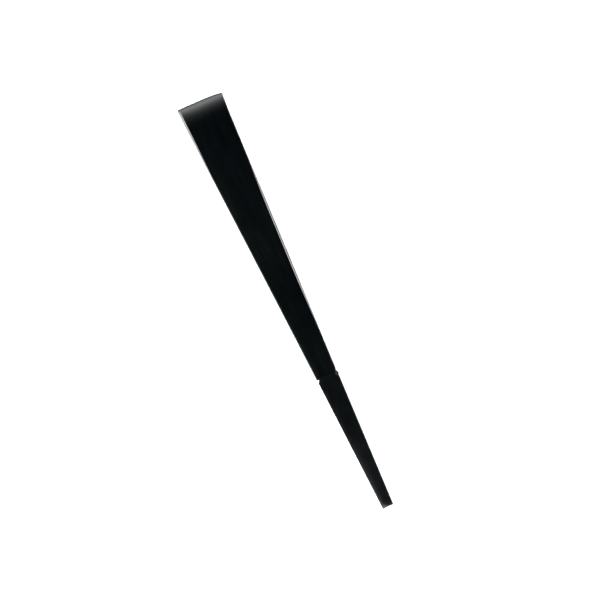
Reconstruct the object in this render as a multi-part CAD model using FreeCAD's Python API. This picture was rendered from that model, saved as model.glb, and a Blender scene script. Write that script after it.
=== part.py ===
"""A two-part bone folder: a wide folding blade and a slender creasing tip that pulls out of it.

Millimetres. +Z is up, +Y runs along the tool towards the blade's wide end, and X is across it.
The origin is at the middle of the length, on the flat underside that the tool lies on.

The blade is two thirds of the length. Its long edges taper in a straight line to the joint, its upper face is
gently crowned, and its wide end is rolled off to a blunt folding edge. The tip carries the taper on to a narrow
hollow-ground nose. A flat tang is pinned into the tip and slides in a metal-lined socket in the blade, where a
bowed leaf spring holds it. A washer between the two shoulders is flush with the faces and narrower than the
shoulders, so that a notch shows at each long edge.
"""
import FreeCAD, Part
import math
import os

V = FreeCAD.Vector

# Outline, seen from above.
LENGTH = 200.0
BLADE_SHARE = 0.6685         # of the length, from the wide end to the middle of the joint
WIDE_END_WIDTH = 20.4
BLADE_JOINT_WIDTH = 10.0
TIP_JOINT_WIDTH = 9.8
NOSE_WIDTH = 5.2
NOSE_HOLLOW_RADIUS = 13.0
WIDE_CORNER_RADIUS = 0.5

# Thickness, crown of the upper face and roundness of the long edges.
WIDE_THICKNESS = 4.2
JOINT_THICKNESS = 5.0
NOSE_THICKNESS = 3.4
CROWN = 0.42
NOSE_CROWN = 0.3
LOWER_EDGE_RADIUS = 0.8
UPPER_EDGE_RADIUS = 1.0
WIDE_UPPER_EDGE_RADIUS = 1.5
NOSE_EDGE_RADIUS = 0.45
FLAT_CUT = 0.02              # what is cut off under the lofted shapes to leave one true plane

# The wide end's roll-off, in side view.
ROLL_LENGTH = 10.0           # how far from the end the upper face starts to fall
RELIEF_LENGTH = 6.5          # how far from the end the underside starts to rise
FOLDING_EDGE_TOP = 2.2
FOLDING_EDGE_LOW = 0.55
FOLDING_EDGE_NOSE = 0.8      # how far the blunt edge stands past the roll-off

# The joint.
WASHER_THICKNESS = 1.25
WASHER_GAP = 0.02            # between the washer and the blade's end face
WASHER_RECESS = 0.03         # how far the washer lies under the faces
WASHER_CORNER_RADIUS = 0.5
NOTCH_DEPTH = 1.0            # how far the washer stands in from the long edges
SHOULDER_CHAMFER = 0.06
BLADE_EASE_LENGTH = 2.0      # the last stretch of the blade's long edges, where they turn in a little
BLADE_EASE_DEPTH = 0.3
TIP_EASE_LENGTH = 0.5
TIP_EASE_DEPTH = 0.15

# The tang and its pins.
TANG_WIDTH = 5.4
TANG_THICKNESS = 1.5
TANG_LOW = 1.6               # height of the tang's lower face above the underside
TANG_IN_BLADE = 24.0
TANG_IN_TIP = 22.0
TANG_END_RADIUS = 1.4
PIN_RADIUS = 0.75
PIN_TOP = 3.9
PIN_SETBACKS = (6.5, 16.5)   # from the middle of the joint
PIN_RECESS = 0.05            # how far the pins stop short of the underside
PIN_EDGE_RADIUS = 0.12
TANG_EDGE_RADIUS = 0.2
SEAT_CLEARANCE = 0.01

# The socket liner and the leaf spring above the tang.
LINER_WALL = 0.3
LINER_LENGTH = 26.0
LINER_SIDE_CLEARANCE = 0.03
SPRING_ROOM = 0.5            # between the tang's upper face and the liner
SPRING_THICKNESS = 0.2
SPRING_WIDTH = 4.2
SPRING_LENGTH = 15.0
SPRING_SETBACK = 5.0         # from the mouth of the liner to the spring's near end
SPRING_TOUCH = 0.01          # the spring's running clearance over the tang
TAB_WIDTH = 1.8
TAB_LENGTH = 0.4

WIDE_Y = LENGTH / 2
NOSE_Y = -LENGTH / 2
JOINT_Y = WIDE_Y - BLADE_SHARE * LENGTH
BLADE_END_Y = JOINT_Y + WASHER_THICKNESS / 2
TIP_END_Y = JOINT_Y - WASHER_THICKNESS / 2
TANG_TOP = TANG_LOW + TANG_THICKNESS


def section(y, width, low, top, crown, lower_radius, upper_radius):
    """A closed wire across the tool at y: flat below, round at its corners and crowned above."""
    half = width / 2
    big = (half**2 + crown**2) / (2 * crown)
    corner_x = half - upper_radius
    corner_z = top - big + math.sqrt((big - upper_radius) ** 2 - corner_x**2)
    # The corner's circle touches the crown's circle from inside, on the line through both centres.
    lean = math.atan2(corner_x, corner_z - (top - big))
    touch = V(big * math.sin(lean), y, top - big + big * math.cos(lean))
    middle = (lean + math.pi / 2) / 2
    corner = V(corner_x + upper_radius * math.sin(middle), y, corner_z + upper_radius * math.cos(middle))
    slant = lower_radius * (1 - math.sqrt(0.5))

    def mirrored(p):
        return V(-p.x, p.y, p.z)

    foot = V(half - lower_radius, y, low)
    heel = V(half - slant, y, low + slant)
    wall_low = V(half, y, low + lower_radius)
    wall_top = V(half, y, corner_z)
    return Part.Wire([
        Part.LineSegment(mirrored(foot), foot).toShape(),
        Part.Arc(foot, heel, wall_low).toShape(),
        Part.LineSegment(wall_low, wall_top).toShape(),
        Part.Arc(wall_top, corner, touch).toShape(),
        Part.Arc(touch, V(0, y, top), mirrored(touch)).toShape(),
        Part.Arc(mirrored(touch), mirrored(corner), mirrored(wall_top)).toShape(),
        Part.LineSegment(mirrored(wall_top), mirrored(wall_low)).toShape(),
        Part.Arc(mirrored(wall_low), mirrored(heel), mirrored(foot)).toShape(),
    ])


def loft(sections):
    """A solid with straight lines from each section to the next."""
    return Part.makeLoft(sections, True, True)


def cut_flat(body):
    """The body with its underside cut to the plane that the tool lies on."""
    return body.cut(block(-LENGTH, LENGTH, -LENGTH, LENGTH, -JOINT_THICKNESS, 0))


def block(x_low, x_high, y_low, y_high, z_low, z_high):
    """A box between two corners."""
    return Part.makeBox(x_high - x_low, y_high - y_low, z_high - z_low, V(x_low, y_low, z_low))


def round_block(width, y_low, y_high, z_low, z_high, radius, edges_along):
    """A box centred on X whose edges along one axis are round."""
    box = block(-width / 2, width / 2, y_low, y_high, z_low, z_high)
    along = [e for e in box.Edges if abs(e.tangentAt(0).dot(edges_along)) > 0.9]
    return box.makeFillet(radius, along)


def level_arc(start, end):
    """An arc in the YZ plane that leaves start level and stops at end."""
    run = end.y - start.y
    rise = end.z - start.z
    radius = (run**2 + rise**2) / (2 * rise)     # negative where the arc bends down
    half_turn = math.asin(run / abs(radius)) / 2
    middle = V(0, start.y + abs(radius) * math.sin(half_turn), start.z + radius * (1 - math.cos(half_turn)))
    return Part.Arc(start, middle, end).toShape()


def wide_end_mask():
    """What the blade may fill, seen from the side and from above: the roll-off and the two round corners."""
    roll_top = WIDE_THICKNESS + (JOINT_THICKNESS - WIDE_THICKNESS) * ROLL_LENGTH / (WIDE_Y - BLADE_END_Y)
    edge_y = WIDE_Y - FOLDING_EDGE_NOSE
    roll_start = V(0, WIDE_Y - ROLL_LENGTH, roll_top)
    roll_end = V(0, edge_y, FOLDING_EDGE_TOP)
    relief_start = V(0, WIDE_Y - RELIEF_LENGTH, 0)
    relief_end = V(0, edge_y, FOLDING_EDGE_LOW)

    nose = Part.Arc(roll_end, V(0, WIDE_Y, (FOLDING_EDGE_TOP + FOLDING_EDGE_LOW) / 2), relief_end).toShape()
    above, behind = 2 * JOINT_THICKNESS, BLADE_END_Y - 1
    back_top, back_low = V(0, behind, above), V(0, behind, -1)
    side = Part.Wire([
        Part.LineSegment(back_low, back_top).toShape(),
        Part.LineSegment(back_top, V(0, roll_start.y, above)).toShape(),
        Part.LineSegment(V(0, roll_start.y, above), roll_start).toShape(),
        level_arc(roll_start, roll_end),
        nose,
        level_arc(relief_start, relief_end),
        Part.LineSegment(relief_start, V(0, relief_start.y, -1)).toShape(),
        Part.LineSegment(V(0, relief_start.y, -1), back_low).toShape(),
    ])
    reach = WIDE_END_WIDTH
    side_mask = Part.Face(side).extrude(V(2 * reach, 0, 0))
    side_mask.translate(V(-reach, 0, 0))

    corner = WIDE_CORNER_RADIUS
    plan_mask = round_block(WIDE_END_WIDTH, behind, WIDE_Y, -1, above, corner, V(0, 0, 1))
    return side_mask.common(plan_mask)


def make_liner_shapes():
    """The liner's outside and inside, as two boxes."""
    inner_half = TANG_WIDTH / 2 + LINER_SIDE_CLEARANCE
    inner_low = TANG_LOW - LINER_SIDE_CLEARANCE
    inner_top = TANG_TOP + SPRING_ROOM
    y_low, y_high = BLADE_END_Y, BLADE_END_Y + LINER_LENGTH
    outside = block(-inner_half - LINER_WALL, inner_half + LINER_WALL, y_low, y_high,
                    inner_low - LINER_WALL, inner_top + LINER_WALL)
    inside = block(-inner_half, inner_half, y_low - 1, y_high + 1, inner_low, inner_top)
    return outside, inside


def shoulder(end_y, inwards, width, ease_length, ease_depth):
    """Sections of a shoulder, from its end face to where its edges are full. inwards is 1 or -1 along Y."""
    joint_edge = (CROWN, LOWER_EDGE_RADIUS, UPPER_EDGE_RADIUS)
    eased = width - 2 * ease_depth
    return [
        section(end_y, eased - 2 * SHOULDER_CHAMFER, SHOULDER_CHAMFER, JOINT_THICKNESS - SHOULDER_CHAMFER,
                *joint_edge),
        section(end_y + inwards * SHOULDER_CHAMFER, eased, -FLAT_CUT, JOINT_THICKNESS, *joint_edge),
        section(end_y + inwards * ease_length, width, -FLAT_CUT, JOINT_THICKNESS, *joint_edge),
    ]


def make_blade():
    """The wide two thirds: straight tapering edges, crowned face, rolled-off end and the socket."""
    body = loft([
        *shoulder(BLADE_END_Y, 1, BLADE_JOINT_WIDTH, BLADE_EASE_LENGTH, BLADE_EASE_DEPTH),
        section(WIDE_Y, WIDE_END_WIDTH, -FLAT_CUT, WIDE_THICKNESS, CROWN, LOWER_EDGE_RADIUS,
                WIDE_UPPER_EDGE_RADIUS),
    ])
    outside, _ = make_liner_shapes()
    return cut_flat(body.common(wide_end_mask()).cut(outside))


def make_liner():
    """The sleeve that lines the socket, with a slot that takes the spring's tab."""
    outside, inside = make_liner_shapes()
    slot = block(-TAB_WIDTH / 2 - SEAT_CLEARANCE, TAB_WIDTH / 2 + SEAT_CLEARANCE,
                 tab_y() - SEAT_CLEARANCE, tab_y() + TAB_LENGTH + SEAT_CLEARANCE, TANG_TOP, JOINT_THICKNESS)
    return outside.cut(inside).cut(slot)


def tab_y():
    """Where the spring's tab starts, at the spring's far end."""
    return BLADE_END_Y + SPRING_SETBACK + SPRING_LENGTH - TAB_LENGTH


def make_spring():
    """A bowed strip: its ends bear on the liner, its middle on the tang, and a tab keeps it in place."""
    y_low = BLADE_END_Y + SPRING_SETBACK
    y_high = y_low + SPRING_LENGTH
    y_middle = (y_low + y_high) / 2
    end_top = TANG_TOP + SPRING_ROOM - SEAT_CLEARANCE
    middle_low = TANG_TOP + SPRING_TOUCH

    def lifted(y, z):
        return V(-SPRING_WIDTH / 2, y, z)

    low_arc = Part.Arc(lifted(y_low, end_top - SPRING_THICKNESS), lifted(y_middle, middle_low),
                       lifted(y_high, end_top - SPRING_THICKNESS))
    top_arc = Part.Arc(lifted(y_high, end_top), lifted(y_middle, middle_low + SPRING_THICKNESS),
                       lifted(y_low, end_top))
    outline = Part.Wire([
        low_arc.toShape(),
        Part.LineSegment(lifted(y_high, end_top - SPRING_THICKNESS), lifted(y_high, end_top)).toShape(),
        top_arc.toShape(),
        Part.LineSegment(lifted(y_low, end_top), lifted(y_low, end_top - SPRING_THICKNESS)).toShape(),
    ])
    strip = Part.Face(outline).extrude(V(SPRING_WIDTH, 0, 0))
    tab = block(-TAB_WIDTH / 2, TAB_WIDTH / 2, tab_y(), y_high, end_top - SPRING_THICKNESS / 2,
                end_top + LINER_WALL)
    return strip.fuse(tab).removeSplitter()


def make_tip():
    """The narrow third: shoulder, tapering body, hollow-ground nose, and the tang's seat and pin holes."""
    nose = section(NOSE_Y, NOSE_WIDTH, -FLAT_CUT, NOSE_THICKNESS, NOSE_CROWN, LOWER_EDGE_RADIUS, UPPER_EDGE_RADIUS)
    body = loft([*shoulder(TIP_END_Y, -1, TIP_JOINT_WIDTH, TIP_EASE_LENGTH, TIP_EASE_DEPTH), nose])
    body = cut_flat(body)
    hollow_y = NOSE_Y - math.sqrt(NOSE_HOLLOW_RADIUS**2 - (NOSE_WIDTH / 2) ** 2)
    body = body.cut(Part.makeCylinder(NOSE_HOLLOW_RADIUS, 2 * JOINT_THICKNESS, V(0, hollow_y, -1)))
    nose_depth = NOSE_HOLLOW_RADIUS - math.sqrt(NOSE_HOLLOW_RADIUS**2 - (NOSE_WIDTH / 2) ** 2)
    nose_edges = [
        e for e in body.Edges
        if e.BoundBox.YMax < NOSE_Y + nose_depth + 0.01 and e.BoundBox.XLength > NOSE_WIDTH / 4
    ]
    body = body.makeFillet(NOSE_EDGE_RADIUS, nose_edges)
    seat = round_block(TANG_WIDTH + 2 * SEAT_CLEARANCE, JOINT_Y - TANG_IN_TIP - SEAT_CLEARANCE, JOINT_Y + 5,
                       TANG_LOW - SEAT_CLEARANCE, TANG_TOP + SEAT_CLEARANCE, TANG_END_RADIUS, V(0, 0, 1))
    body = body.cut(seat)
    for setback in PIN_SETBACKS:
        body = body.cut(pin_hole(setback))
    return body


def make_pin(setback):
    """One cross pin with round ends. It goes in from the underside and stops inside the tip."""
    pin = Part.makeCylinder(PIN_RADIUS, PIN_TOP - PIN_RECESS, V(0, JOINT_Y - setback, PIN_RECESS))
    rims = [e for e in pin.Edges if e.BoundBox.ZLength < SEAT_CLEARANCE]
    return pin.makeFillet(PIN_EDGE_RADIUS, rims)


def pin_hole(setback):
    """The blind hole that a cross pin sits in, open at the underside."""
    depth = PIN_TOP + SEAT_CLEARANCE
    return Part.makeCylinder(PIN_RADIUS + SEAT_CLEARANCE, depth + 1, V(0, JOINT_Y - setback, -1))


def make_tang():
    """The flat bar that joins the two, with a hole for each pin and every outer edge eased."""
    bar = round_block(TANG_WIDTH, JOINT_Y - TANG_IN_TIP, JOINT_Y + TANG_IN_BLADE, TANG_LOW, TANG_TOP,
                      TANG_END_RADIUS, V(0, 0, 1))
    rims = [e for e in bar.Edges if e.BoundBox.ZLength < SEAT_CLEARANCE]
    bar = bar.makeFillet(TANG_EDGE_RADIUS, rims)
    for setback in PIN_SETBACKS:
        bar = bar.cut(pin_hole(setback))
    return bar


def make_washer():
    """The washer round the tang: crowned like the faces, just under them, and narrower than the shoulders."""
    width = TIP_JOINT_WIDTH - 2 * NOTCH_DEPTH
    crown = CROWN * (width / TIP_JOINT_WIDTH) ** 2
    outline = section(TIP_END_Y, width, WASHER_RECESS, JOINT_THICKNESS - WASHER_RECESS, crown,
                      WASHER_CORNER_RADIUS, WASHER_CORNER_RADIUS)
    ring = Part.Face(outline).extrude(V(0, WASHER_THICKNESS - WASHER_GAP, 0))
    hole = block(-TANG_WIDTH / 2 - SEAT_CLEARANCE, TANG_WIDTH / 2 + SEAT_CLEARANCE, TIP_END_Y - 1,
                 BLADE_END_Y + 1, TANG_LOW - SEAT_CLEARANCE, TANG_TOP + SEAT_CLEARANCE)
    return ring.cut(hole)


def main():
    parts = {
        "blade": make_blade(),
        "socket_liner": make_liner(),
        "hold_spring": make_spring(),
        "tip": make_tip(),
        "tang": make_tang(),
        "joint_washer": make_washer(),
    }
    for number, setback in enumerate(PIN_SETBACKS, start=1):
        parts[f"tang_pin_{number}"] = make_pin(setback)

    os.makedirs("parts", exist_ok=True)
    for name, shape in parts.items():
        if not shape.isValid() or len(shape.Solids) != 1:
            raise ValueError(f"{name} is not one valid solid")
        shape.Solids[0].exportStep(f"parts/{name}.step")
        box = shape.BoundBox
        print(f"{name}: {shape.Volume:.1f} mm3, x {box.XMin:.2f} to {box.XMax:.2f}, "
              f"y {box.YMin:.2f} to {box.YMax:.2f}, z {box.ZMin:.2f} to {box.ZMax:.2f}")


main()
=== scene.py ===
"""Looks of the two-part bone folder: finished outer meshes, materials, studio floor, light and camera.

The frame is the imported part's, in metres: +Y towards the wide folding end, +X across the tool, and +Z up from
its flat underside.
"""
import math

import bmesh
import bpy
from mathutils import Matrix, Vector


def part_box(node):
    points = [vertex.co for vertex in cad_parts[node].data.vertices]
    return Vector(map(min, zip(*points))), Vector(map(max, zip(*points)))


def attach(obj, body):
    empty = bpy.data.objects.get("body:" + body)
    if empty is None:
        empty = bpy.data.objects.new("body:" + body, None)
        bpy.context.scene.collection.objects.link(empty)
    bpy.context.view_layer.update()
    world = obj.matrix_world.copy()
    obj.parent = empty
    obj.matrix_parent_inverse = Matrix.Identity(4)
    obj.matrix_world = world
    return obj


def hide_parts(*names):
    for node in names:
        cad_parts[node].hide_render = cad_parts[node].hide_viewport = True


MM = 0.001

# The outer shapes, in millimetres. The lengths, the width of each body's wider end and the thickness at the
# joint come from the frame's boxes.
BLADE_JOINT_WIDTH = 10.0
NOSE_WIDTH = 5.25
WIDE_THICKNESS = 4.2
NOSE_THICKNESS = 3.4
CROWN = 0.42                 # how far the middle of the upper face stands above its edges
NOSE_CROWN = 0.3
DRAFT = 0.125                # how far the underside's edges stand in, as a share of the thickness

# The radii of the long edges.
SOFT_EDGE = 0.2              # the upper ones where they are crisp
RIGHT_EDGE = 1.0             # the blade's right one where it is roundest
LEFT_EDGE = 0.45             # the blade's left one
LEFT_WIDE_EDGE = 1.4         # and the same at the wide end
LOWER_EDGE = 0.5             # the lower ones
LEFT_ROUNDING = (62.0, 96.0)     # y between which the left edge gets rounder
RIGHT_ROUNDING = (-17.0, 17.0)   # y between which the right edge gets rounder
RIGHT_CRISPING = (45.0, 75.0)    # y between which it gets crisp again
LARGEST_CORNER = 0.9         # the most that a radius may be, as a share of the half width
LARGEST_LOWER_CORNER = 0.49  # and a lower one as a share of the height

# The wide end.
ROLL_LENGTH = 11.5           # how far from the end the upper face starts to fall
RELIEF_LENGTH = 6.5          # how far from the end the underside starts to rise
FOLDING_EDGE_HEIGHT = 1.35   # of the thin edge above the underside
WIDE_CORNER = 0.5
LEFT_FLARE = 0.5             # how much further out the left edge stands at the wide end
FLARE_CURVE = 3              # the higher, the nearer to the wide end that starts
WIDE_SLANT = 0.55            # how far the folding edge's right corner stands back

# The joint. Pairs are for the left and the right side.
BLADE_EASE = ((0.4, 0.05), (2.6, 0.6))   # length and depth of each edge's turn inwards at the shoulder
TIP_EASE = ((0.5, 0.1), (0.4, 0.1))
EASE_CURVE = 1.5             # the higher, the nearer to the shoulder they turn
TIP_SET_IN = (0.12, -0.27)   # how far in each of the tip's edges stands at the joint; none at the nose
WASHER_AT_BLADE = (-3.9, 4.2)    # where the washer's sides are at its blade end
WASHER_AT_TIP = (-4.55, 4.9)     # and at its tip end
WASHER_EDGE = 0.4
WASHER_RECESS = 0.01         # how far the washer lies under the faces
SOCKET_DEPTH = 26.0          # of the liner's opening in the blade
SEAT_DEPTH = 22.0            # of the tang's opening in the tip
POCKET_CORNER = 0.06         # radius of the corners of both openings
PIN_HOLE_RADIUS = 0.78
DRILL_START = 1.0            # how far below a pin its drill starts
FIT = 0.01                   # clearance round the tang and over the pins

# The nose.
NOSE_EDGE = 0.3              # radius of its edges
NOSE_HOLLOW = 0.35           # how far its middle stands back
NOSE_SLANT = 0.33            # how much further its left corner reaches than its right one
HOLLOW_REACH = 7.0           # how far from the nose these two fade out

# How finely the outer meshes are divided.
FACE_STEPS = 28
CORNER_STEPS = 8
WALL_STEPS = 4
ROLL_STEPS = 26
ROLL_CROWDING = 1.3          # how much the rings crowd towards the folding edge
BODY_STEPS = 48
BODY_CROWDING = 1.6          # and towards the joint
NOSE_EDGE_STEPS = 6
HOLE_SEGMENTS = 48
HARD_EDGE_DEGREES = 50       # faces that meet more steeply than this keep a hard edge

# What counts as a body's flat end face at the joint.
END_FACE_WITHIN = 0.01       # of the shoulder, in millimetres
END_FACE_FACING = 0.9        # the least share of its normal that lies along the tool

# The camera: how far the view leans from straight down, towards the wide end and towards the right edge.
CAMERA_LEAN_END = 14.0
CAMERA_LEAN_RIGHT = 8.0
CAMERA_ROLL = 24.93          # turn of the tool's axis from the picture's vertical
CAMERA_DISTANCE = 1.0        # in metres
CAMERA_AIM = (3.15, 2.9, 2.5)    # in millimetres
CAMERA_LENS = 138.5
CAMERA_SENSOR = 36.0
CAMERA_CLIP = (0.05, 20.0)

# The studio, in metres and degrees.
FLOOR_RADIUS = 6.0
FLOOR_SEGMENTS = 96
FLOOR_GAP = 0.00002
TENT_COLOUR = (0.97, 0.99, 1.0)
TENT_DARK_MIDDLE = (-0.07, -0.24, 0.97)   # direction of the middle of the dark ceiling
TENT_DARK_WITHIN = 12.0      # of that direction it is black
TENT_BRIGHT_BEYOND = 57.0    # this angle from it the tent isn't darkened
TENT_BRIGHTNESS = 1.3
TENT_PANEL_MIDDLE = (-0.14, 0.755, 0.64)  # direction of the bright panel beyond the wide end
TENT_PANEL_WITHIN = 15.0     # of that direction it is brightest
TENT_PANEL_FADES_AT = 60.0   # from that direction
TENT_PANEL_FOOT = (14.5, 30.0)            # heights between which the panel comes up from nothing
TENT_PANEL_BRIGHTNESS = 3.3  # added to the tent's

# The softboxes: azimuth (0 is +Y, 90 is +X) and height, then side and power.
LIGHT_DISTANCE = 1.2         # from the middle of the tool
LEFT_LIGHT = ((-90, 25), 1.2, 50)
RIGHT_LIGHT = ((105, 30), 0.7, 20)
NEAR_LIGHT = ((190, 30), 1.2, 18)


def mix(a, b, t):
    """The value a share t of the way from a to b."""
    return a + (b - a) * t


def smooth_step(low, high, value):
    """0 below low, 1 above high and a soft slope between."""
    t = min(max((value - low) / (high - low), 0.0), 1.0)
    return t * t * (3 - 2 * t)


def quarter_round(radius, distance):
    """How far a rounded edge of this radius has fallen back at this distance from its end."""
    if distance >= radius:
        return 0.0
    return radius - math.sqrt(radius**2 - (radius - distance) ** 2)


def ring(
    half,
    low,
    top,
    crown=0.0,
    left=SOFT_EDGE,
    right=SOFT_EDGE,
    under=LOWER_EDGE,
    draft=0.0,
    turned=(0.0, 0.0),
):
    """Points (x, z) round the tool, anticlockwise from the foot of its left wall.

    left and right are the radii of the upper corners, under that of the lower ones. draft is how far the
    underside's edges stand in from the widest place, which is the foot of each upper corner. turned is how
    far the left and the right edge have turned in.
    """
    flat_top = top - crown
    rise = flat_top - low
    under = min(under, rise * LARGEST_LOWER_CORNER, half * LARGEST_CORNER)
    left = min(left, rise - under, half * LARGEST_CORNER)
    right = min(right, rise - under, half * LARGEST_CORNER)

    def corner(x, z, radius, start):
        """The steps of a corner about (x, z), turning a quarter from start degrees."""
        turns = [math.radians(start + 90 * i / CORNER_STEPS) for i in range(CORNER_STEPS + 1)]
        return [(x + radius * math.cos(a), z + radius * math.sin(a)) for a in turns]

    def between(a, b, steps):
        """The points inside a straight run from a to b."""
        return [(mix(a[0], b[0], i / steps), mix(a[1], b[1], i / steps)) for i in range(1, steps)]

    lower_left = corner(-half + under, low + under, under, 180)
    lower_right = corner(half - under, low + under, under, 270)
    upper_right = corner(half - right, flat_top - right, right, 0)
    upper_left = corner(-half + left, flat_top - left, left, 90)
    points = [
        *lower_left,
        *between(lower_left[-1], lower_right[0], FACE_STEPS),
        *lower_right,
        *between(lower_right[-1], upper_right[0], WALL_STEPS),
        *upper_right,
        *between(upper_right[-1], upper_left[0], FACE_STEPS),
        *upper_left,
        *between(upper_left[-1], lower_left[0], WALL_STEPS),
    ]

    def shaped(x, z):
        """The point with the crown raised and the draft and the turn of its side taken in."""
        bulge = crown * (1 - (x / half) ** 2) * (z - low) / rise
        radius, turn = (left, turned[0]) if x < 0 else (right, turned[1])
        widest = flat_top - radius
        below = max(0.0, (widest - z) / (widest - low))
        return x * (1 - (turn + draft * below) / half), z + bulge

    return [shaped(x, z) for x, z in points]


def close_end(bm, row):
    """Closes a ring with a strip of faces from its lower half to its upper one, left to right."""
    count = len(row)
    right_foot = 2 * CORNER_STEPS + FACE_STEPS

    def above(i):
        return count - WALL_STEPS - i

    for i in range(right_foot):
        face = [i, i + 1, above(i + 1), above(i)]
        if i == 0:
            face += range(count - WALL_STEPS + 1, count)
        if i == right_foot - 1:
            face[2:2] = range(right_foot + 1, right_foot + WALL_STEPS)
        bm.faces.new([row[k] for k in face])


def skin(name, rings, hollow=False):
    """A closed mesh through rings of points in millimetres. If hollow, the last ring joins the first."""
    bm = bmesh.new()
    rows = [[bm.verts.new(Vector(p) * MM) for p in points] for points in rings]
    count = len(rows[0])
    for row, following in zip(rows, rows[1:] + rows[:1] if hollow else rows[1:]):
        for i in range(count):
            j = (i + 1) % count
            bm.faces.new((row[i], row[j], following[j], following[i]))
    if not hollow:
        close_end(bm, rows[0])
        close_end(bm, rows[-1])
    bmesh.ops.recalc_face_normals(bm, faces=bm.faces)
    mesh = bpy.data.meshes.new(name)
    bm.to_mesh(mesh)
    bm.free()
    piece = bpy.data.objects.new(name, mesh)
    bpy.context.scene.collection.objects.link(piece)
    return piece


def at(y, points):
    """A flat ring at y."""
    return [(x, y, z) for x, z in points]


def smooth_shaded(piece):
    """Smooth shading, with an edge kept hard where two faces meet steeply."""
    piece.data.shade_smooth()
    piece.data.set_sharp_from_angle(angle=math.radians(HARD_EDGE_DEGREES))


def millimetres(node):
    """A CAD node's box in millimetres."""
    low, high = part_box(node)
    return low / MM, high / MM


def opening(half, low, top):
    """The outline of a rectangular opening with small corners."""
    return ring(half, low, top, left=POCKET_CORNER, right=POCKET_CORNER, under=POCKET_CORNER)


def turned_in(ease, from_shoulder):
    """How far a long edge has turned in at this distance from its shoulder."""
    length, depth = ease
    return depth * max(0.0, 1 - from_shoulder / length) ** EASE_CURVE


# --- blade ---


def blade_ring(y):
    """The blade's cross-section at y."""
    low_corner, high_corner = millimetres("blade")
    shoulder_y, wide_y = low_corner.y, high_corner.y
    share = (y - shoulder_y) / (wide_y - shoulder_y)
    from_end = wide_y - y
    thickness = mix(high_corner.z, WIDE_THICKNESS, share)
    half = mix(BLADE_JOINT_WIDTH / 2, high_corner.x, share) - quarter_round(WIDE_CORNER, from_end)

    def falling(height, length):
        """What is left of a height where an end rolls off in a quarter ellipse of this length."""
        if from_end >= length:
            return height
        return height * math.sqrt(1 - ((length - from_end) / length) ** 2)

    top = FOLDING_EDGE_HEIGHT + falling(thickness - FOLDING_EDGE_HEIGHT, ROLL_LENGTH)
    low = FOLDING_EDGE_HEIGHT - falling(FOLDING_EDGE_HEIGHT, RELIEF_LENGTH)
    roundest = smooth_step(*RIGHT_ROUNDING, y) * (1 - smooth_step(*RIGHT_CRISPING, y))
    left_turn, right_turn = (turned_in(ease, y - shoulder_y) for ease in BLADE_EASE)
    return ring(
        half,
        low,
        top,
        crown=CROWN * (top - low) / thickness,
        left=mix(LEFT_EDGE, LEFT_WIDE_EDGE, smooth_step(*LEFT_ROUNDING, y)),
        right=mix(SOFT_EDGE, RIGHT_EDGE, roundest),
        draft=DRAFT * thickness,
        turned=(left_turn - LEFT_FLARE * share**FLARE_CURVE, right_turn),
    )


def slanted(y, wide_y, points):
    """A ring at y with its right side standing back, the more so the nearer it is to the wide end."""
    back = WIDE_SLANT * (1 - smooth_step(0, ROLL_LENGTH, wide_y - y))
    half = max(x for x, z in points)
    return [(x, y - back * max(0.0, x / half) ** 2, z) for x, z in points]


def make_blade():
    """The blade: folding edge, crowned body, end face and the socket's walls."""
    low_corner, high_corner = millimetres("blade")
    liner_low, liner_high = millimetres("socket_liner")
    shoulder_y, wide_y = low_corner.y, high_corner.y
    rings = []
    for step in range(1, ROLL_STEPS + 1):
        turn = math.radians(90 * (step / ROLL_STEPS) ** ROLL_CROWDING)
        y = wide_y - ROLL_LENGTH * (1 - math.cos(turn))
        rings.append(slanted(y, wide_y, blade_ring(y)))
    body_start = wide_y - ROLL_LENGTH
    for step in range(1, BODY_STEPS + 1):
        y = mix(shoulder_y, body_start, (1 - step / BODY_STEPS) ** BODY_CROWDING)
        rings.append(at(y, blade_ring(y)))
    socket = opening(liner_high.x, liner_low.z, liner_high.z)
    rings += [at(shoulder_y, socket), at(shoulder_y + SOCKET_DEPTH, socket)]
    piece = skin("folding_blade", rings)
    smooth_shaded(piece)
    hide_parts("blade")
    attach(piece, "blade_body")
    return piece


# --- tip ---


def tip_ring(y, inset=0.0):
    """The tip's cross-section at y, taken in by inset, and bent to the hollow nose near its end."""
    low_corner, high_corner = millimetres("tip")
    nose_y, shoulder_y = low_corner.y, high_corner.y
    share = (y - nose_y) / (shoulder_y - nose_y)
    thickness = mix(NOSE_THICKNESS, high_corner.z, share)
    half = mix(NOSE_WIDTH / 2, high_corner.x, share)
    turned = [
        turned_in(ease, shoulder_y - y) + set_in * share
        for ease, set_in in zip(TIP_EASE, TIP_SET_IN)
    ]
    outline = ring(
        half - inset,
        inset,
        thickness - inset,
        crown=mix(NOSE_CROWN, CROWN, share),
        draft=DRAFT * thickness,
        turned=turned,
    )
    near_nose = 1 - smooth_step(0, HOLLOW_REACH, y - nose_y)

    def bend(x):
        """How far a point at x stands back: most near the middle. The left corner reaches forward instead."""
        across = x / half
        return near_nose * (NOSE_HOLLOW * (1 - across**2) - NOSE_SLANT * (1 - across) / 2)

    return [(x, y + bend(x), z) for x, z in outline]


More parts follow.
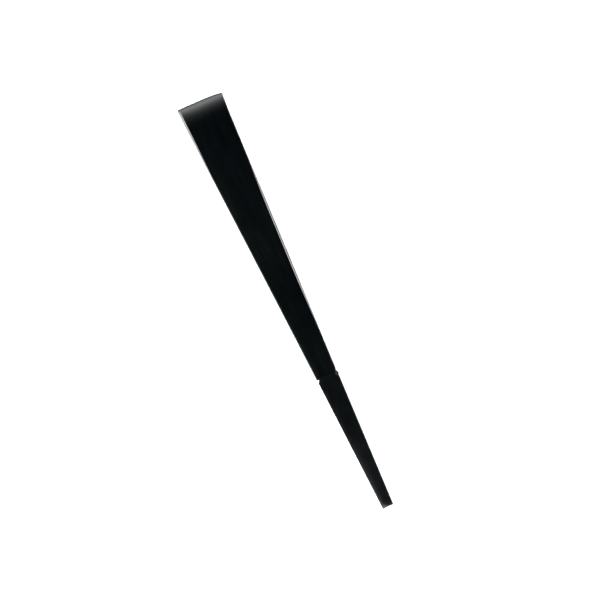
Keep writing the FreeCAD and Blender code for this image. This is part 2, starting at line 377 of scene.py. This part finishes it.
def make_tip():
    """The tip: hollow nose, tapering body, end face, the tang's seat and the pin holes."""
    low_corner, high_corner = millimetres("tip")
    tang_low, tang_high = millimetres("tang")
    nose_y, shoulder_y = low_corner.y, high_corner.y
    rings = []
    for step in range(NOSE_EDGE_STEPS + 1):
        turn = math.radians(90 * step / NOSE_EDGE_STEPS)
        y = nose_y + NOSE_EDGE * (1 - math.cos(turn))
        rings.append(tip_ring(y, NOSE_EDGE * (1 - math.sin(turn))))
    body_start = nose_y + NOSE_EDGE
    for step in range(1, BODY_STEPS + 1):
        y = mix(shoulder_y, body_start, (1 - step / BODY_STEPS) ** BODY_CROWDING)
        rings.append(tip_ring(y))
    seat = opening(tang_high.x + FIT, tang_low.z - FIT, tang_high.z + FIT)
    rings += [at(shoulder_y, seat), at(shoulder_y - SEAT_DEPTH, seat)]
    piece = skin("creasing_tip", rings)
    for node in ("tang_pin_1", "tang_pin_2"):
        drill(piece, node)
    smooth_shaded(piece)
    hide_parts("tip")
    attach(piece, "tip_body")
    return piece


def drill(piece, node):
    """Cuts the blind hole for a cross pin up into the piece from its underside."""
    pin_low, pin_high = millimetres(node)
    centre = (pin_low + pin_high) / 2
    low, high = pin_low.z - DRILL_START, pin_high.z + FIT
    bm = bmesh.new()
    bmesh.ops.create_cone(
        bm,
        cap_ends=True,
        segments=HOLE_SEGMENTS,
        radius1=PIN_HOLE_RADIUS * MM,
        radius2=PIN_HOLE_RADIUS * MM,
        depth=(high - low) * MM,
        matrix=Matrix.Translation(Vector((centre.x, centre.y, (low + high) / 2)) * MM),
    )
    mesh = bpy.data.meshes.new("drill")
    bm.to_mesh(mesh)
    bm.free()
    bit = bpy.data.objects.new("drill", mesh)
    bpy.context.scene.collection.objects.link(bit)
    cut = piece.modifiers.new("hole", "BOOLEAN")
    cut.operation = "DIFFERENCE"
    cut.solver = "EXACT"
    cut.object = bit
    bpy.context.view_layer.update()
    evaluated = piece.evaluated_get(bpy.context.evaluated_depsgraph_get())
    result = bpy.data.meshes.new_from_object(evaluated)
    piece.modifiers.clear()
    piece.data = result
    bpy.data.objects.remove(bit)


def make_washer():
    """The washer round the tang: nearly flush with the faces, and narrowest at the blade."""
    low_corner, high_corner = millimetres("joint_washer")
    tang_low, tang_high = millimetres("tang")
    tip_half, joint_top = millimetres("tip")[1].x, millimetres("tip")[1].z

    def rim(sides):
        """The washer's outline between its left and its right side, with the faces' own crown."""
        left, right = sides
        half = (right - left) / 2
        crown = CROWN * (half / tip_half) ** 2
        top = joint_top - WASHER_RECESS
        outline = ring(half, WASHER_RECESS, top, crown, WASHER_EDGE, WASHER_EDGE, WASHER_EDGE)
        return [(x + (left + right) / 2, z) for x, z in outline]

    hole = opening(tang_high.x + FIT, tang_low.z - FIT, tang_high.z + FIT)
    near, far = low_corner.y, high_corner.y
    rings = [at(near, rim(WASHER_AT_TIP)), at(far, rim(WASHER_AT_BLADE)), at(far, hole), at(near, hole)]
    piece = skin("washer_ring", rings, hollow=True)
    smooth_shaded(piece)
    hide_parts("joint_washer")
    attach(piece, "tip_body")
    return piece


# --- materials ---


class Nodes:
    """A new material and short calls that add nodes to it."""

    def __init__(self, name):
        self.material = bpy.data.materials.new(name)
        self.material.use_nodes = True
        self.tree = self.material.node_tree
        self.shader = self.tree.nodes["Principled BSDF"]
        coordinates = self.tree.nodes.new("ShaderNodeTexCoord").outputs
        self.place = coordinates["Object"]
        self.facing = coordinates["Normal"]

    def add(self, kind, inputs=None, **settings):
        """A node of this kind, with its settings and with values or links for its inputs."""
        node = self.tree.nodes.new(kind)
        for key, value in settings.items():
            setattr(node, key, value)
        for key, value in (inputs or {}).items():
            if isinstance(value, bpy.types.NodeSocket):
                self.tree.links.new(value, node.inputs[key])
            else:
                node.inputs[key].default_value = value
        return node

    def noise(self, stretch, scale, detail=6.0, rough=0.6):
        """Noise over the object, its pattern drawn out by stretch along X, Y and Z."""
        mapped = self.add("ShaderNodeMapping", {"Vector": self.place, "Scale": stretch}).outputs[0]
        made = self.add(
            "ShaderNodeTexNoise",
            {"Vector": mapped, "Scale": scale, "Detail": detail, "Roughness": rough},
        )
        return made.outputs["Fac"]

    def ranged(self, value, low, high, to_low, to_high):
        """The value moved from one range to another, and held inside it."""
        return self.add(
            "ShaderNodeMapRange",
            {"Value": value, "From Min": low, "From Max": high, "To Min": to_low, "To Max": to_high},
        ).outputs["Result"]

    def blended(self, share, first, second):
        """A colour between two, by share."""
        made = self.add("ShaderNodeMix", {"Factor": share}, data_type="RGBA")
        for index, value in ((6, first), (7, second)):
            if isinstance(value, bpy.types.NodeSocket):
                self.tree.links.new(value, made.inputs[index])
            else:
                made.inputs[index].default_value = (*value, 1)
        return made.outputs[2]

    def bumped(self, height, strength, distance, under=None):
        """A normal bent by a height field, on top of another one."""
        inputs = {"Height": height, "Strength": strength, "Distance": distance}
        if under is not None:
            inputs["Normal"] = under
        return self.add("ShaderNodeBump", inputs).outputs["Normal"]

    def give(self, **inputs):
        """Links or values for the shader's own inputs."""
        for key, value in inputs.items():
            socket = self.shader.inputs[key.replace("_", " ")]
            if isinstance(value, bpy.types.NodeSocket):
                self.tree.links.new(value, socket)
            else:
                socket.default_value = value
        return self.material


def black_polish():
    """Polished black: faint lengthwise grain, fine rubbing marks, and edges worn a little paler."""
    n = Nodes("black_polish")
    grain = n.noise((1.0, 0.06, 1.0), 900)
    clouds = n.noise((1.0, 0.4, 1.0), 60, detail=3)
    marks = n.noise((1.0, 0.02, 1.0), 6000, detail=3)
    pores = n.noise((1.0, 0.25, 1.0), 2600, detail=4)
    worn = n.ranged(n.add("ShaderNodeNewGeometry").outputs["Pointiness"], 0.52, 0.62, 0.0, 1.0)
    grained = n.ranged(grain, 0.35, 0.7, 0, 1)
    base = n.blended(grained, (0.0002, 0.0005, 0.0006), (0.0006, 0.0010, 0.0012))
    colour = n.blended(worn, base, (0.006, 0.0065, 0.007))
    rough = n.add(
        "ShaderNodeMath",
        {0: n.ranged(clouds, 0.3, 0.7, 0.10, 0.17), 1: n.ranged(marks, 0.4, 0.75, 0.0, 0.06)},
        operation="ADD",
    ).outputs[0]
    coarse = n.bumped(pores, 0.12, 0.00002)
    fine = n.bumped(marks, 0.10, 0.00001, coarse)
    return n.give(Base_Color=colour, Roughness=rough, Normal=fine, IOR=1.5)


def sawn_black():
    """The same black as the body, left matt by the saw."""
    n = Nodes("sawn_black")
    teeth = n.noise((4.0, 1.0, 0.3), 2200, detail=4)
    colour = n.blended(n.ranged(teeth, 0.3, 0.7, 0, 1), (0.0010, 0.0014, 0.0015), (0.0050, 0.0054, 0.0056))
    return n.give(
        Base_Color=colour,
        Roughness=n.ranged(teeth, 0.3, 0.7, 0.65, 0.85),
        Normal=n.bumped(teeth, 0.4, 0.00003),
        Specular_IOR_Level=0.25,
    )


def washer_rubber():
    """Black hard rubber: polished on its faces, and matt on the rim at the bottom of the notches."""
    n = Nodes("washer_rubber")
    specks = n.noise((1.0, 1.5, 1.0), 3500)
    colour = n.blended(n.ranged(specks, 0.3, 0.7, 0, 1), (0.0003, 0.0005, 0.0006), (0.0010, 0.0012, 0.0013))
    upright = n.add("ShaderNodeSeparateXYZ", {0: n.facing}).outputs["Z"]
    level = n.add("ShaderNodeMath", {0: upright}, operation="ABSOLUTE").outputs[0]
    polished = n.ranged(level, 0.6, 0.9, 0, 1)
    return n.give(
        Base_Color=colour,
        Roughness=n.add(
            "ShaderNodeMix",
            {"Factor": polished, "A": 0.85, "B": n.ranged(specks, 0.3, 0.7, 0.12, 0.18)},
        ).outputs["Result"],
        Specular_IOR_Level=n.ranged(polished, 0, 1, 0.1, 0.5),
        Normal=n.bumped(specks, 0.1, 0.00001),
        IOR=1.5,
    )


def brushed_steel():
    """Steel brushed along its length, with a few duller patches."""
    n = Nodes("brushed_steel")
    lines = n.noise((1.0, 0.015, 1.0), 9000, detail=4)
    patches = n.noise((1.0, 1.0, 1.0), 220, detail=3)
    colour = n.blended(n.ranged(patches, 0.35, 0.7, 0, 1), (0.24, 0.24, 0.235), (0.16, 0.16, 0.155))
    rough = n.add(
        "ShaderNodeMath",
        {0: n.ranged(lines, 0.3, 0.7, 0.28, 0.44), 1: n.ranged(patches, 0.4, 0.8, 0.0, 0.12)},
        operation="ADD",
    ).outputs[0]
    return n.give(Base_Color=colour, Roughness=rough, Metallic=1.0, Normal=n.bumped(lines, 0.25, 0.00002))


def drawn_brass():
    """Drawn brass, a little dulled."""
    n = Nodes("drawn_brass")
    lines = n.noise((1.0, 0.02, 1.0), 7000, detail=4)
    tarnish = n.noise((1.0, 0.5, 1.0), 350, detail=5)
    colour = n.blended(n.ranged(tarnish, 0.4, 0.75, 0, 1), (0.74, 0.56, 0.26), (0.45, 0.31, 0.14))
    rough = n.ranged(tarnish, 0.3, 0.8, 0.24, 0.48)
    return n.give(Base_Color=colour, Roughness=rough, Metallic=1.0, Normal=n.bumped(lines, 0.2, 0.00002))


def white_floor():
    """Matt white board with a hardly visible tooth."""
    n = Nodes("white_floor")
    tooth = n.noise((1.0, 1.0, 1.0), 400, detail=4)
    colour = n.blended(n.ranged(tooth, 0.3, 0.7, 0, 1), (0.90, 0.90, 0.90), (0.92, 0.92, 0.92))
    normal = n.bumped(tooth, 0.1, 0.0001)
    return n.give(Base_Color=colour, Roughness=0.9, Specular_IOR_Level=0.0, Normal=normal)


def paint(piece, material):
    """Gives the whole piece one material."""
    piece.data.materials.clear()
    piece.data.materials.append(material)


def paint_shoulder(piece, shoulder_y, material):
    """Gives the flat end face that a body has at the joint its own material."""
    piece.data.materials.append(material)
    for face in piece.data.polygons:
        near = abs(face.center.y - shoulder_y) < END_FACE_WITHIN * MM
        if near and abs(face.normal.y) > END_FACE_FACING:
            face.material_index = 1


# --- studio ---


def make_floor():
    """A round white board, large enough to reach past every view."""
    bm = bmesh.new()
    bmesh.ops.create_circle(bm, cap_ends=True, segments=FLOOR_SEGMENTS, radius=FLOOR_RADIUS)
    mesh = bpy.data.meshes.new("floor")
    bm.to_mesh(mesh)
    bm.free()
    floor = bpy.data.objects.new("floor", mesh)
    floor.location.z = -FLOOR_GAP
    bpy.context.scene.collection.objects.link(floor)
    paint(floor, white_floor())


def make_world():
    """A white tent with a dark ceiling, and a bright panel in it beyond the wide end."""
    world = bpy.data.worlds.new("tent")
    world.use_nodes = True
    bpy.context.scene.world = world
    tree = world.node_tree
    direction = tree.nodes.new("ShaderNodeTexCoord").outputs["Generated"]

    def towards(axis):
        """How nearly a direction points along an axis: 1 along it, 0 square to it."""
        node = tree.nodes.new("ShaderNodeVectorMath")
        node.operation = "DOT_PRODUCT"
        node.inputs[1].default_value = Vector(axis).normalized()
        tree.links.new(direction, node.inputs[0])
        return node.outputs["Value"]

    def ramp(source, start, end, low, high):
        """A smooth change from low to high as the source runs from start to end."""
        node = tree.nodes.new("ShaderNodeMapRange")
        node.interpolation_type = "SMOOTHSTEP"
        for name, value in (("From Min", start), ("From Max", end), ("To Min", low), ("To Max", high)):
            node.inputs[name].default_value = value
        tree.links.new(source, node.inputs["Value"])
        return node.outputs["Result"]

    def combined(operation, *values):
        """Links or numbers put together by a mathematical operation."""
        node = tree.nodes.new("ShaderNodeMath")
        node.operation = operation
        for socket, value in zip(node.inputs, values):
            if isinstance(value, bpy.types.NodeSocket):
                tree.links.new(value, socket)
            else:
                socket.default_value = value
        return node.outputs[0]

    def around(axis, within, beyond, inside, outside):
        """One level within an angle of an axis, another beyond a wider angle, and a soft change between."""
        near, far = math.cos(math.radians(within)), math.cos(math.radians(beyond))
        return ramp(towards(axis), near, far, inside, outside)

    ceiling = around(TENT_DARK_MIDDLE, TENT_DARK_WITHIN, TENT_BRIGHT_BEYOND, 0.0, 1.0)
    panel = around(TENT_PANEL_MIDDLE, TENT_PANEL_WITHIN, TENT_PANEL_FADES_AT, TENT_PANEL_BRIGHTNESS, 0.0)
    foot_low, foot_high = (math.sin(math.radians(a)) for a in TENT_PANEL_FOOT)
    foot = ramp(towards((0, 0, 1)), foot_low, foot_high, 0.0, 1.0)
    tent = combined("MULTIPLY_ADD", panel, foot, TENT_BRIGHTNESS)
    background = tree.nodes["Background"]
    background.inputs["Color"].default_value = (*TENT_COLOUR, 1)
    tree.links.new(combined("MULTIPLY", tent, ceiling), background.inputs["Strength"])


def softbox(name, direction, size, power):
    """A square light facing the middle of the tool, from an azimuth and a height."""
    azimuth, height = (math.radians(a) for a in direction)
    level = math.cos(height)
    away = Vector((math.sin(azimuth) * level, math.cos(azimuth) * level, math.sin(height)))
    light = bpy.data.lights.new(name, "AREA")
    light.size = size
    light.energy = power
    lamp = bpy.data.objects.new(name, light)
    lamp.location = away * LIGHT_DISTANCE
    lamp.rotation_mode = "QUATERNION"
    lamp.rotation_quaternion = away.to_track_quat("Z", "Y")
    bpy.context.scene.collection.objects.link(lamp)


def make_camera():
    """A long lens above the tool, with the wide end up and to the left."""
    lean_right = math.sin(math.radians(CAMERA_LEAN_RIGHT))
    lean_end = math.sin(math.radians(CAMERA_LEAN_END))
    back = Vector((lean_right, lean_end, math.sqrt(1 - lean_right**2 - lean_end**2)))
    along = Vector((0, 1, 0))
    along = (along - back * along.dot(back)).normalized()
    across = along.cross(back)
    roll = math.radians(CAMERA_ROLL)
    up = along * math.cos(roll) + across * math.sin(roll)
    right = across * math.cos(roll) - along * math.sin(roll)
    data = bpy.data.cameras.new("camera")
    data.lens = CAMERA_LENS
    data.sensor_width = CAMERA_SENSOR
    data.clip_start, data.clip_end = CAMERA_CLIP
    camera = bpy.data.objects.new("camera", data)
    camera.rotation_mode = "QUATERNION"
    camera.rotation_quaternion = Matrix((right, up, back)).transposed().to_quaternion()
    camera.location = Vector(CAMERA_AIM) * MM + back * CAMERA_DISTANCE
    bpy.context.scene.collection.objects.link(camera)
    bpy.context.scene.camera = camera


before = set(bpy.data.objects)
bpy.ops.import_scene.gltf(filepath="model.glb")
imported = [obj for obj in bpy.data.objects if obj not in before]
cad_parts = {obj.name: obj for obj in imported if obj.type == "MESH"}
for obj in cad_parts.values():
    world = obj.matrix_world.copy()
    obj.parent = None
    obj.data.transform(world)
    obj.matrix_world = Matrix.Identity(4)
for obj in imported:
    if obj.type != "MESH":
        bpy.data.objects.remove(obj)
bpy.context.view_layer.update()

black = black_polish()
sawn = sawn_black()
steel = brushed_steel()
blade = make_blade()
tip = make_tip()
for body in (blade, tip):
    paint(body, black)
paint_shoulder(blade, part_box("blade")[0].y, sawn)
paint_shoulder(tip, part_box("tip")[1].y, sawn)
paint(make_washer(), washer_rubber())
paint(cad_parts["socket_liner"], drawn_brass())
for node in ("tang", "tang_pin_1", "tang_pin_2", "hold_spring"):
    paint(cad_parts[node], steel)

make_floor()
make_world()
softbox("left_light", *LEFT_LIGHT)
softbox("right_light", *RIGHT_LIGHT)
softbox("near_light", *NEAR_LIGHT)
make_camera()
bpy.context.scene.view_settings.view_transform = "Standard"
